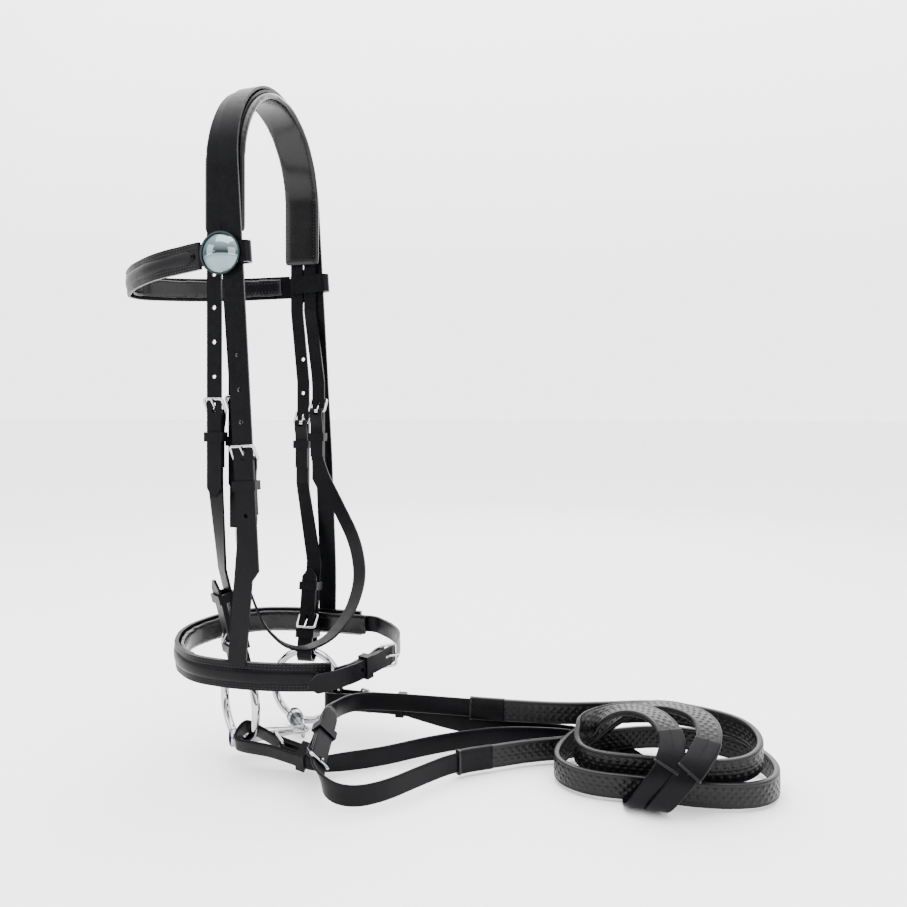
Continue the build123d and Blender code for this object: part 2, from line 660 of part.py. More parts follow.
def on_edge(points):
    """The upright section plane where a rein that stands on its edge begins."""
    start, after = vectors(points[:2])
    run = (after - start).normalized()
    return Plane(origin=start, x_dir=UP.cross(run), z_dir=run)


def turned_up(station, along, outward, thickness, points):
    """Leather that leaves a buckle's slant and comes to stand on its edge."""
    first = Plane(origin=local(station, along=along, outward=outward),
                  x_dir=station.z_dir, z_dir=station.y_dir * math.copysign(1.0, along))
    second = on_edge(points)
    if first.x_dir.dot(second.x_dir) < 0:
        first = Plane(origin=first.origin, x_dir=first.x_dir * -1, z_dir=first.z_dir)
    section = Rectangle(thickness, REIN_WIDTH)
    return loft([first * section, second * section])


def near_rein_bit_end():
    """The near rein: round the ring, past its buckle, turning on edge and on to the bundle."""
    station = NEAR_REIN_STATION
    end = ring_loop(station, REIN_WIDTH, -28, NEAR_REIN_REACH, slack=1.8, spread=9.2,
                    main_length=30)
    turn = turned_up(station, -30, -BILLET_CENTRE, LEATHER, near_bit_route)
    return end + turn + edge_strap(near_bit_route, LEATHER)


def off_rein_bit_end():
    """The off rein: round the ring, past its buckle and down to the bundle."""
    station = OFF_REIN_STATION
    end = ring_loop(station, REIN_WIDTH, -46, 34.0, slack=3.0, spread=7.0, main_length=40)
    joined = local(station, along=-39, outward=-BILLET_CENTRE)
    return end + edge_strap([joined] + off_bit_route, LEATHER)


def edge_strap(points, thickness, width=REIN_WIDTH):
    """A rein that stands on its edge along a route that may rise and fall."""
    route = smooth_path(points)
    start = Plane(origin=route @ 0, x_dir=UP.cross(route % 0), z_dir=route % 0)
    return sweep(start * Rectangle(thickness, width), path=route)


def rein_bundle():
    """The outer shape of the looped and knotted middle of the reins."""
    outline = [(BUNDLE_EDGE + GAP, -20), (296, -46), (330, -64), (372, -66), (430, -44),
               (456, -14), (458, 26), (436, 56), (396, 68), (340, 66), (BUNDLE_EDGE + GAP, 62)]
    corners = [Vector(x, y, FLOOR_Z) for x, y in outline]
    base = extrude(make_face(Polyline(*corners, close=True)), 36)
    hump = extrude(Plane.XZ.offset(30) * Pos(358, FLOOR_Z + 34.5) * Ellipse(38, 34), 36)
    return base + hump


# ---------------------------------------------------------------- writing the sub-parts
STATIONS = {
    "near_cheek": (CHEEK_STATION["near"], CHEEK_WIDTH),
    "off_cheek": (CHEEK_STATION["off"], CHEEK_WIDTH),
    "near_throat": (THROAT_STATION["near"], CHEEK_WIDTH),
    "off_throat": (THROAT_STATION["off"], CHEEK_WIDTH),
    "noseband": (NOSEBAND_STATION, SLIPHEAD_WIDTH),
    "chin": (CHIN_STATION, CHIN_WIDTH),
    "near_bit": (BIT_STATION["near"], BIT_WIDTH),
    "off_bit": (BIT_STATION["off"], BIT_WIDTH),
    "near_rein": (NEAR_REIN_STATION, REIN_WIDTH),
    "off_rein": (OFF_REIN_STATION, REIN_WIDTH),
    "rein_centre": (CENTRE_STATION, REIN_WIDTH),
}


# Where each runner sits along its strap, and the layers it goes round
INNER_FOLD = 0.2 - FOLD / 2
INNER_MAIN = -BILLET_CENTRE - LEATHER / 2
OUTER_FACE = BILLET_CENTRE + LEATHER / 2
KEEPERS = {
    "near_cheek": (-20, INNER_FOLD, OUTER_FACE),
    "off_cheek": (-22, INNER_FOLD, OUTER_FACE),
    "noseband": (-21, INNER_FOLD, OUTER_FACE),
    "chin": (-24, INNER_FOLD, OUTER_FACE),
    "near_bit": (-28, INNER_MAIN, OUTER_FACE),
    "off_bit": (-28, INNER_MAIN, OUTER_FACE),
    "near_rein": (-19, INNER_MAIN, OUTER_FACE),
    "off_rein": (-31, INNER_MAIN, OUTER_FACE),
    "rein_centre": (-27, INNER_FOLD, OUTER_FACE),
}


def near_rein_hand_end():
    """The plain hand end of one rein, folded round the centre buckle's bar."""
    station = CENTRE_STATION
    start = local(station, along=-47, outward=FOLD_CENTRE)
    fold = folded_strap(station, [start], REIN_WIDTH)
    turn = turned_up(station, -47, FOLD_CENTRE, FOLD, near_hand_route)
    return fold + turn + edge_strap(near_hand_route, FOLD)


def off_rein_hand_end():
    """The plain hand end of the other rein, through the centre buckle to its tip."""
    station = CENTRE_STATION
    tail, start = 56, 15
    billet_run = strap([local(station, along=-tail, outward=BILLET_CENTRE),
                        local(station, along=start, outward=BILLET_CENTRE)],
                       station.x_dir, REIN_WIDTH, LEATHER)
    billet_run -= tip_cut(station, -tail, REIN_WIDTH, outward=BILLET_CENTRE)
    billet_run -= prong_slot(station)
    turn = turned_up(station, start, BILLET_CENTRE, LEATHER, off_hand_route)
    return billet_run + turn + edge_strap(off_hand_route, LEATHER)


def both(shapes):
    """Two matching pieces kept in one sub-part."""
    pair = Part()
    for shape in shapes:
        pair += shape
    return pair


def build():
    """Every sub-part by name."""
    parts = {
        "headpiece": headpiece(),
        "headpiece_padding": headpiece_padding(),
        "noseband_sliphead": noseband_sliphead(),
        "browband": browband(),
        "browband_lining": browband_lining(),
        "browband_buttons": browband_buttons(),
        "noseband": noseband(),
        "noseband_padding": noseband_padding(),
        "chin_chape": chin_chape(),
        "chin_strap": chin_strap(),
        "near_noseband_cheek": near_noseband_cheek(),
        "near_cheekpiece": cheekpiece("near"),
        "off_cheekpiece": cheekpiece("off"),
        "throatlatch": throatlatch(),
        "near_bit_ring": bit_ring(NEAR_RING, NEAR_RING_TURN),
        "off_bit_ring": bit_ring(OFF_RING, OFF_RING_TURN),
        "near_mouthpiece": canon(wire_point(NEAR_RING, NEAR_RING_TURN, 100), NEAR_RING,
                                 NEAR_RING_TURN, True),
        "off_mouthpiece": canon(wire_point(OFF_RING, OFF_RING_TURN, 112), OFF_RING,
                                OFF_RING_TURN, False),
        "near_rein_bit_end": near_rein_bit_end(),
        "off_rein_bit_end": off_rein_bit_end(),
        "near_rein_hand_end": near_rein_hand_end(),
        "off_rein_hand_end": off_rein_hand_end(),
        "near_rein_grip": edge_strap(near_grip_route, 6.0, 20.0),
        "off_rein_grip": edge_strap(off_grip_route, 6.0, 20.0),
        "rein_bundle": rein_bundle(),
    }
    for name, (station, width) in STATIONS.items():
        if "throat" not in name:
            parts[f"{name}_buckle"] = buckle_frame(station, width)
        parts[f"{name}_prong"] = prong(station)
    for name, (along, inner, outer) in KEEPERS.items():
        station, width = STATIONS[name]
        parts[f"{name}_keeper"] = keeper(station, along, width, inner, outer)
    throats = THROAT_STATION.values()
    parts["throat_buckles"] = both(buckle_frame(station, CHEEK_WIDTH) for station in throats)
    parts["throat_keepers"] = both(keeper(station, -26, CHEEK_WIDTH, INNER_FOLD, OUTER_FACE)
                                   for station in throats)
    parts["bit_chapes"] = both(chape(station, BIT_WIDTH) for station in BIT_STATION.values())
    parts["rein_chapes"] = both(chape(station, REIN_WIDTH, 20.0)
                                for station in (NEAR_REIN_STATION, OFF_REIN_STATION))
    reach = BIT_LOOP_SPREAD + LEATHER / 2
    parts["bit_lower_keepers"] = both(keeper(station, 18, BIT_WIDTH, -reach, reach)
                                      for station in BIT_STATION.values())
    return parts


def print_rein_corners():
    """The tightest corner of each rein's route, which its leather must be able to follow."""
    routes = {
        "near rein from the bit": near_bit_route,
        "off rein from the bit": off_bit_route,
        "near rein to the hand": near_hand_route,
        "off rein to the hand": off_hand_route,
        "near grip": near_grip_route,
        "off grip": off_grip_route,
    }
    for name, route in routes.items():
        print(f"{name}: tightest corner radius {min(corner_radii(vectors(route))):.0f} mm")


if __name__ == "__main__":
    for name, shape in build().items():
        save(shape, name)
    print_rein_corners()
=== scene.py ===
"""A black snaffle bridle with knotted grip reins, on a pale studio floor."""

import json
import math

import bmesh
import bpy
from mathutils import Matrix, Vector
from mathutils.bvhtree import BVHTree


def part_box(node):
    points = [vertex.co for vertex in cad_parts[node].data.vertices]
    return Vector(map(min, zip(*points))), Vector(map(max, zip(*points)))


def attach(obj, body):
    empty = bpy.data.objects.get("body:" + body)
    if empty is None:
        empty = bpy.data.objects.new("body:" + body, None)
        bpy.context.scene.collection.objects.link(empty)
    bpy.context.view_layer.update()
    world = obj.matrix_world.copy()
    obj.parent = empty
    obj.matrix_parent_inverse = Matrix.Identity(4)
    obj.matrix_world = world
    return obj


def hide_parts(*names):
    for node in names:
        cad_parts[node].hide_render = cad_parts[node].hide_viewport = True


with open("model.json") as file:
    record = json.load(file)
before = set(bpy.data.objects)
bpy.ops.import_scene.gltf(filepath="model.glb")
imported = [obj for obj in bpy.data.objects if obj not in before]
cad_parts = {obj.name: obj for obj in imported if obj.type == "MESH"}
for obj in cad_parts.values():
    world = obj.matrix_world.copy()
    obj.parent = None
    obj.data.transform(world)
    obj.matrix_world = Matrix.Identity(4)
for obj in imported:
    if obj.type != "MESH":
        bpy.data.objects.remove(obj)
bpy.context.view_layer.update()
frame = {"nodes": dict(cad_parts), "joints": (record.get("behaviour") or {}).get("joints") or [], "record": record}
nodes = frame["nodes"]
joints = {joint["name"]: joint for joint in frame["joints"]}
UP = Vector((0, 0, 1))
SIDEWAYS = Vector((1, 0, 0))

# ---------------------------------------------------------------- camera, light and floor
FLOOR_Z = -0.5986             # just under the lowest strap of the knot
FLOOR_REACH = 40.0            # from the floor's middle to its edges
SENSOR = 36.0                 # the camera's sensor width, in mm
LENS = 33.7376                # the camera's focal length, in mm
VIEW_SHIFT = -0.04355         # how far the level line is from the middle, as a share of the view
YAW = math.radians(13)
EYE = Vector((0.3537, -0.7394, -0.2887))


def make_camera():
    """A level camera that sees the bridle from its near side."""
    data = bpy.data.cameras.new("camera")
    data.sensor_width = SENSOR
    data.lens = LENS
    data.shift_y = VIEW_SHIFT
    camera = bpy.data.objects.new("camera", data)
    camera.location = EYE
    camera.rotation_euler = (math.radians(90), 0, YAW)
    bpy.context.scene.collection.objects.link(camera)
    bpy.context.scene.camera = camera


def area_light(name, place, target, size, power):
    """A square soft box that faces a point."""
    data = bpy.data.lights.new(name, "AREA")
    data.size = size
    data.energy = power
    lamp = bpy.data.objects.new(name, data)
    lamp.location = place
    lamp.rotation_euler = (Vector(target) - Vector(place)).to_track_quat("-Z", "Y").to_euler()
    bpy.context.scene.collection.objects.link(lamp)


def make_sky():
    """A white studio that is brightest behind the bridle and overhead."""
    world = bpy.data.worlds.new("studio")
    world.use_nodes = True
    tree = world.node_tree
    direction = tree.nodes.new("ShaderNodeTexCoord").outputs["Generated"]
    parts = tree.nodes.new("ShaderNodeSeparateXYZ")
    tree.links.new(direction, parts.inputs[0])
    rear = node(tree, "ShaderNodeMapRange", From_Min=-0.3, From_Max=0.75, To_Min=0.4, To_Max=3.6)
    tree.links.new(parts.outputs["Y"], rear.inputs["Value"])
    overhead = node(tree, "ShaderNodeMapRange", From_Min=0.15, From_Max=1.0, To_Min=0.0,
                    To_Max=3.0)
    tree.links.new(parts.outputs["Z"], overhead.inputs["Value"])
    total = tree.nodes.new("ShaderNodeMath")
    tree.links.new(rear.outputs[0], total.inputs[0])
    tree.links.new(overhead.outputs[0], total.inputs[1])
    background = tree.nodes["Background"]
    background.inputs["Color"].default_value = (1.0, 1.0, 1.0, 1.0)
    tree.links.new(total.outputs[0], background.inputs["Strength"])
    bpy.context.scene.world = world


def make_floor():
    """A plain pale floor that reaches past every view."""
    mesh = bpy.data.meshes.new("floor")
    corners = [(x * FLOOR_REACH, y * FLOOR_REACH, FLOOR_Z)
               for x, y in ((-1, -1), (1, -1), (1, 1), (-1, 1))]
    mesh.from_pydata(corners, [], [(0, 1, 2, 3)])
    floor = bpy.data.objects.new("floor", mesh)
    bpy.context.scene.collection.objects.link(floor)
    material, shader, tree = new_material("floor_paper", (0.93, 0.93, 0.93), 0.8)
    add_noise_bump(tree, shader, 300, 0.02, 0.0002)
    mesh.materials.append(material)


def make_studio():
    """Soft light from above, both sides and behind, with the sky and the floor."""
    middle = (0.1, 0.0, -0.35)
    area_light("light_top", (0.1, -0.2, 1.3), middle, 1.6, 36)
    area_light("light_left", (-1.4, -1.1, 0.3), middle, 1.2, 16)
    area_light("light_right", (1.6, -1.0, 0.2), middle, 1.2, 14)
    area_light("light_back", (0.2, 1.6, 0.6), middle, 1.2, 14)
    make_sky()
    make_floor()


# ---------------------------------------------------------------- materials
def new_material(name, colour, roughness, metallic=0.0):
    """A material with one principled shader."""
    material = bpy.data.materials.new(name)
    material.use_nodes = True
    tree = material.node_tree
    shader = tree.nodes["Principled BSDF"]
    shader.inputs["Base Color"].default_value = (*colour, 1.0)
    shader.inputs["Roughness"].default_value = roughness
    shader.inputs["Metallic"].default_value = metallic
    return material, shader, tree


def node(tree, kind, **values):
    """A shader node with its input values set by name."""
    made = tree.nodes.new(kind)
    for name, value in values.items():
        made.inputs[name.replace("_", " ")].default_value = value
    return made


def object_place(tree):
    """The place on the piece, in metres."""
    return tree.nodes.new("ShaderNodeTexCoord").outputs["Object"]


def add_noise_bump(tree, shader, scale, strength, distance):
    """Fine unevenness of a surface."""
    noise = node(tree, "ShaderNodeTexNoise", Scale=scale, Detail=4.0)
    tree.links.new(object_place(tree), noise.inputs["Vector"])
    bump = node(tree, "ShaderNodeBump", Strength=strength, Distance=distance)
    tree.links.new(noise.outputs["Fac"], bump.inputs["Height"])
    tree.links.new(bump.outputs["Normal"], shader.inputs["Normal"])


def vary(tree, target, source, low, high):
    """Moves a colour or a number between two values with a grey source."""
    ramp = tree.nodes.new("ShaderNodeValToRGB")
    ramp.color_ramp.elements[0].color = (*low, 1.0)
    ramp.color_ramp.elements[1].color = (*high, 1.0)
    ramp.color_ramp.elements[0].position = 0.3
    ramp.color_ramp.elements[1].position = 0.7
    tree.links.new(source, ramp.inputs["Fac"])
    tree.links.new(ramp.outputs["Color"], target)


def leather(name, dark, light, rough_low, rough_high, grain, depth, coat, shine=0.3):
    """Finished leather: pores and creases, uneven black dye and an uneven polish."""
    material, shader, tree = new_material(name, dark, rough_high)
    place = object_place(tree)
    cells = node(tree, "ShaderNodeTexVoronoi", Scale=grain)
    cells.feature = "DISTANCE_TO_EDGE"
    creases = node(tree, "ShaderNodeTexNoise", Scale=grain / 5, Detail=5.0)
    clouds = node(tree, "ShaderNodeTexNoise", Scale=45.0, Detail=3.0)
    for texture in (cells, creases, clouds):
        tree.links.new(place, texture.inputs["Vector"])
    vary(tree, shader.inputs["Base Color"], clouds.outputs["Fac"], dark, light)
    vary(tree, shader.inputs["Roughness"], creases.outputs["Fac"],
         (rough_low,) * 3, (rough_high,) * 3)
    fine = node(tree, "ShaderNodeBump", Strength=0.35, Distance=depth)
    coarse = node(tree, "ShaderNodeBump", Strength=0.3, Distance=depth * 2.5)
    tree.links.new(cells.outputs["Distance"], fine.inputs["Height"])
    tree.links.new(creases.outputs["Fac"], coarse.inputs["Height"])
    tree.links.new(coarse.outputs["Normal"], fine.inputs["Normal"])
    tree.links.new(fine.outputs["Normal"], shader.inputs["Normal"])
    shader.inputs["Specular IOR Level"].default_value = shine
    shader.inputs["Coat Weight"].default_value = coat
    shader.inputs["Coat Roughness"].default_value = 0.25
    return material


def metal(name, colour, roughness):
    """Polished metal with faint handling marks, and painted shade on its edges where it curves away."""
    material, shader, tree = new_material(name, colour, roughness, metallic=1.0)
    # The near-black edge tint is painted shade: it darkens the metal's reflection where it curves away.
    shader.inputs["Specular Tint"].default_value = (0.06, 0.06, 0.07, 1.0)
    marks = node(tree, "ShaderNodeTexNoise", Scale=260.0, Detail=6.0)
    tree.links.new(object_place(tree), marks.inputs["Vector"])
    vary(tree, shader.inputs["Roughness"], marks.outputs["Fac"],
         (roughness * 0.6,) * 3, (roughness * 1.6,) * 3)
    return material


def grip_rubber():
    """Black rubber with a slight sheen on its raised parts."""
    material, shader, tree = new_material("pimpled_rubber", (0.0024, 0.0024, 0.003), 0.34)
    add_noise_bump(tree, shader, 900, 0.15, 0.0001)
    shader.inputs["Specular IOR Level"].default_value = 0.22
    return material


STRAP_LEATHER = leather("strap_leather", (0.0014, 0.0014, 0.0019), (0.0028, 0.0028, 0.0037),
                        rough_low=0.28, rough_high=0.40, grain=1100.0, depth=0.00006,
                        coat=0.01, shine=0.08)
SOFT_LEATHER = leather("padded_leather", (0.0014, 0.0014, 0.0018), (0.0026, 0.0026, 0.0032),
                       rough_low=0.20, rough_high=0.26, grain=500.0, depth=0.00001,
                       coat=0.12, shine=0.2)
CHROME = metal("chrome", (0.44, 0.44, 0.46), 0.08)
DARK_CHROME = metal("dark_chrome", (0.16, 0.21, 0.22), 0.06)
STEEL = metal("polished_steel", (0.38, 0.38, 0.39), 0.14)
GRIP = grip_rubber()
THREAD = leather("waxed_thread", (0.006, 0.006, 0.007), (0.02, 0.02, 0.022),
                 rough_low=0.4, rough_high=0.6, grain=3000.0, depth=0.00005, coat=0.0)
SLOT_MATERIALS = {"leather": STRAP_LEATHER, "padded_leather": SOFT_LEATHER, "grip": GRIP,
                  "chrome": CHROME, "steel": STEEL}
EDGE_ROUNDING = 0.0006        # on the CAD nodes that are leather
SHARP_EDGE = math.radians(40)


def finish_cad_nodes():
    """The record's finish for each CAD node, and softened edges on its leather."""
    slots = {part["node"]: part["material_slot"] for part in frame["record"]["subparts"]}
    for name, piece in nodes.items():
        piece.data.materials.clear()
        finish = DARK_CHROME if name == "browband_buttons" else SLOT_MATERIALS[slots[name]]
        piece.data.materials.append(finish)
        if slots[name] == "leather":
            bevel = piece.modifiers.new("edges", "BEVEL")
            bevel.width = EDGE_ROUNDING
            bevel.segments = 2
            bevel.limit_method = "ANGLE"
            bevel.angle_limit = SHARP_EDGE


# ---------------------------------------------------------------- lines and straps
REIN = 0.0165
REIN_THICK = 0.0024
GRIP_WIDTH = 0.0195
GRIP_THICK = 0.0046
TIP_SHARE = 0.35              # a strap's tip is this share of its full width


def line(points, resolution=10):
    """Places read along the spline that has these control points."""
    curve = bpy.data.curves.new("line", "CURVE")
    curve.dimensions = "3D"
    spline = curve.splines.new("NURBS")
    spline.points.add(len(points) - 1)
    for target, point in zip(spline.points, points):
        target.co = (*point, 1.0)
    spline.order_u = 3
    spline.use_endpoint_u = True
    spline.resolution_u = resolution
    holder = bpy.data.objects.new("line", curve)
    mesh = bpy.data.meshes.new_from_object(holder)
    places = [vertex.co.copy() for vertex in mesh.vertices]
    bpy.data.objects.remove(holder)
    bpy.data.curves.remove(curve)
    bpy.data.meshes.remove(mesh)
    return places


class Route:
    """A strap's centre line with its width direction and face direction at every place."""

    columns = ("places", "runs", "widths", "faces")

    def __init__(self, points, widths, resolution=10):
        points = [Vector(point) for point in points]
        widths = [Vector(width).normalized() for width in widths]
        for before, after in zip(widths, widths[1:]):
            if before.dot(after) < 0:
                after.negate()
        self.places = line(points, resolution)
        sides = line([point + width for point, width in zip(points, widths)], resolution)
        last = len(self.places) - 1
        self.runs = [(self.places[min(i + 1, last)] - self.places[max(i - 1, 0)]).normalized()
                     for i in range(last + 1)]
        self.widths = []
        self.faces = []
        self.lengths = [0.0]
        for place, side, run in zip(self.places, sides, self.runs):
            width = side - place
            width = (width - run * width.dot(run)).normalized()
            self.widths.append(width)
            self.faces.append(run.cross(width))
        for before, after in zip(self.places, self.places[1:]):
            self.lengths.append(self.lengths[-1] + (after - before).length)

    def between(self, start, end, step=0.004):
        """The part of this route between two distances along it, in even steps."""
        part = Route.__new__(Route)
        count = max(2, round((end - start) / step))
        part.lengths = [start + (end - start) * i / count for i in range(count + 1)]
        for name in self.columns:
            setattr(part, name, [])
        index = 0
        for length in part.lengths:
            while index < len(self.lengths) - 2 and self.lengths[index + 1] < length:
                index += 1
            span = self.lengths[index + 1] - self.lengths[index]
            share = (length - self.lengths[index]) / span if span else 0.0
            for name in self.columns:
                values = getattr(self, name)
                value = values[index].lerp(values[index + 1], share)
                getattr(part, name).append(value if name == "places" else value.normalized())
        return part


def linked(name, mesh, material, body):
    """A new piece in the scene that rides on a body."""
    piece = bpy.data.objects.new(name, mesh)
    bpy.context.scene.collection.objects.link(piece)
    mesh.materials.append(material)
    for face in mesh.polygons:
        face.use_smooth = True
    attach(piece, body)
    return piece


# Cross-sections: how far across and how far out, each as a share of half the strap's size.
FLAT = [(-1, -0.5), (-1, 0.5), (-0.93, 0.95), (-0.86, 1), (-0.4, 1), (0, 1), (0.4, 1), (0.86, 1),
        (0.93, 0.95), (1, 0.5), (1, -0.5), (0.93, -0.95), (0.86, -1), (0.4, -1), (0, -1),
        (-0.4, -1), (-0.86, -1), (-0.93, -0.95)]
DOMED = [(-1, -0.6), (-1, 0.1), (-0.85, 0.5), (-0.6, 0.82), (-0.3, 0.97), (0, 1), (0.3, 0.97),
         (0.6, 0.82), (0.85, 0.5), (1, 0.1), (1, -0.6), (0.5, -0.8), (0, -0.8), (-0.5, -0.8)]
GRIP_STEPS = 24
GRIPPED = ([(-1 + 2 * i / GRIP_STEPS, 1) for i in range(GRIP_STEPS + 1)]
           + [(1 - 2 * i / GRIP_STEPS, -1) for i in range(GRIP_STEPS + 1)])


def pimples(length, across):
    """How far the grip's rubber stands out at a place: dots, a seam and ribbed borders."""
    margin, border, groove, seam = 0.92, 0.76, 0.68, 0.05
    rib_pitch, dot_pitch, dot_height = 0.0026, 0.0064, 0.0007
    edge = abs(across)
    if edge > margin:
        return -0.0006
    if edge > border:
        return 0.0002 + 0.00022 * math.sin(2 * math.pi * length / rib_pitch)
    if edge > groove or edge < seam:
        return -0.0003
    cell = 2 * math.pi / dot_pitch
    lattice = math.sin(cell * length) * math.sin(cell * across * GRIP_WIDTH / 2)
    return dot_height * max(0.0, lattice)


def narrowing(distance, tip):
    """A strap's share of its full width at a distance from an end that narrows over a tip."""
    if not tip or distance >= tip:
        return 1.0
    return TIP_SHARE + (1 - TIP_SHARE) * distance / tip


def ribbon(name, route, width, thickness, section, material, body="bridle", tips=(0.0, 0.0),
           relief=None):
    """A strap swept along a route; each tip is the length over which it narrows."""
    total = route.lengths[-1] - route.lengths[0]
    vertices = []
    for place, side, face, length in zip(route.places, route.widths, route.faces, route.lengths):
        done = length - route.lengths[0]
        shape = min(narrowing(done, tips[0]), narrowing(total - done, tips[1]))
        for across, out in section:
            raised = relief(length, across) if relief else 0.0
            vertices.append(place + side * (across * width / 2 * shape)
                            + face * (out * (thickness / 2 + raised)))
    count = len(section)
    faces = []
    for ring in range(len(route.places) - 1):
        for step in range(count):
            after = (step + 1) % count
            faces.append((ring * count + step, ring * count + after,
                          (ring + 1) * count + after, (ring + 1) * count + step))
    faces.append(tuple(range(count))[::-1])
    faces.append(tuple(range(len(vertices) - count, len(vertices))))
    mesh = bpy.data.meshes.new(name)
    mesh.from_pydata(vertices, [], faces)
    mesh.validate()
    layer = mesh.uv_layers.new(name="strap")
    for polygon in mesh.polygons:
        for loop in polygon.loop_indices:
            vertex = mesh.loops[loop].vertex_index
            across = section[vertex % count][0]
            layer.data[loop].uv = (route.lengths[vertex // count], across * width / 2)
    return linked(name, mesh, material, body)


def tree_of(mesh):
    """A search tree over a mesh's faces."""
    made = bmesh.new()
    made.from_mesh(mesh)
    tree = BVHTree.FromBMesh(made)
    made.free()
    return tree


STITCH_PITCH = 0.0034
STITCH_LENGTH = 0.0024
STITCH_WIDTH = 0.0007
STITCH_HEIGHT = 0.0009
STITCH_SUNK = 0.0003          # how far a stitch's foot lies under the leather
# A stitch's corners: across, out and along, as shares of half its width, its height and length.
STITCH_CORNERS = ((0, 0, -0.5), (1, 0, -0.2), (1, 0, 0.2), (0, 0, 0.5), (-1, 0, 0.2),
                  (-1, 0, -0.2), (0, 1, -0.25), (0, 1, 0.25))
STITCH_FACES = ((0, 1, 6), (1, 2, 7, 6), (2, 3, 7), (3, 4, 7), (4, 5, 6, 7), (5, 0, 6))


def add_stitch(vertices, faces, hit, normal, along):
    """One stitch on a surface, added to the lists of a mesh."""
    side = normal.cross(along).normalized()
    base = hit - normal * STITCH_SUNK
    first = len(vertices)
    for across, out, far in STITCH_CORNERS:
        vertices.append(base + side * (across * STITCH_WIDTH / 2)
                        + normal * (out * STITCH_HEIGHT) + along * (far * STITCH_LENGTH))
    for face in STITCH_FACES:
        faces.append(tuple(first + corner for corner in face))


def stitches(name, mesh, rows, body):
    """Rows of thread laid on a mesh; a row is places and the direction that they face."""
    above, reach = 0.012, 0.03
    tree = tree_of(mesh)
    vertices = []
    faces = []
    for places, outward in rows:
        travelled = 0.0
        for index in range(1, len(places)):
            start, end = places[index - 1], places[index]
            run = (end - start).length
            while travelled < run:
                point = start.lerp(end, travelled / run)
                facing = outward[index - 1].lerp(outward[index], travelled / run)
                hit, normal, _, _ = tree.ray_cast(point + facing * above, -facing, reach)
                if hit is not None:
                    add_stitch(vertices, faces, hit, normal, (end - start).normalized())
                travelled += STITCH_PITCH
            travelled -= run
    made = bpy.data.meshes.new(name)
    made.from_pydata(vertices, [], faces)
    return linked(name, made, THREAD, body)


def row(route, across, outward=1.0):
    """A stitch row at a distance across a route."""
    places = [place + side * across for place, side in zip(route.places, route.widths)]
    return places, [face * outward for face in route.faces]


# ---------------------------------------------------------------- buckles' directions
class Station:
    """A buckle's bar centre with its across, along and outward directions."""

    def __init__(self, name):
        hinge = joints[f"{name}_prong_lift"]
        self.origin = Vector(hinge["pos_m"])
        self.across = Vector(hinge["axis"])
        self.along = Vector(joints[f"{name}_keeper_slide"]["axis"])
        self.outward = self.across.cross(self.along)

    def point(self, along, outward, across=0.0):
        """A point in the buckle's own directions, in metres."""
        return (self.origin + self.along * along + self.outward * outward
                + self.across * across)


# ---------------------------------------------------------------- reins
SLEEVE = 0.032                # the length of the plain sleeve at each end of a grip
SLEEVE_WIDTH = 0.0204
SLEEVE_THICK = 0.0060
BEAD = 0.0018                 # the length of the raised rim at a sleeve's outer end
BEAD_WIDTH = 0.0210
BEAD_THICK = 0.0070
LAP = 0.003                   # how far a grip reaches under its sleeves
BILLET = 0.0049               # the middle of a billet, outward of the buckle's bar
FOLDED = 0.0025               # the middle of leather folded round the bar
UNDER_WIDTHS = [(0.3, 0.4, 0.8), (0.8, 0.6, 0), (1, 0.3, 0), (1, 0, 0)]


def loop_points(station, tip, spread, reach, far):
    """Control points from a billet's tip, round a bit ring, and back past the buckle."""
    return [station.point(along, outward) for along, outward in (
        (tip, BILLET), (0.008, BILLET), (0.022, (BILLET + spread) / 2), (reach - 0.010, spread),
        (reach, spread), (reach, -spread), (reach - 0.010, -spread),
        (0.022, -(BILLET + spread) / 2), (0.008, -BILLET), (far, -BILLET))]


def route_of(*legs):
    """A route through legs; a leg is its control points and one width direction, or one each."""
    points = []
    widths = []
    for leg, sides in legs:
        points += leg
        widths += sides if isinstance(sides, list) else [sides] * len(leg)
    return Route(points, widths)


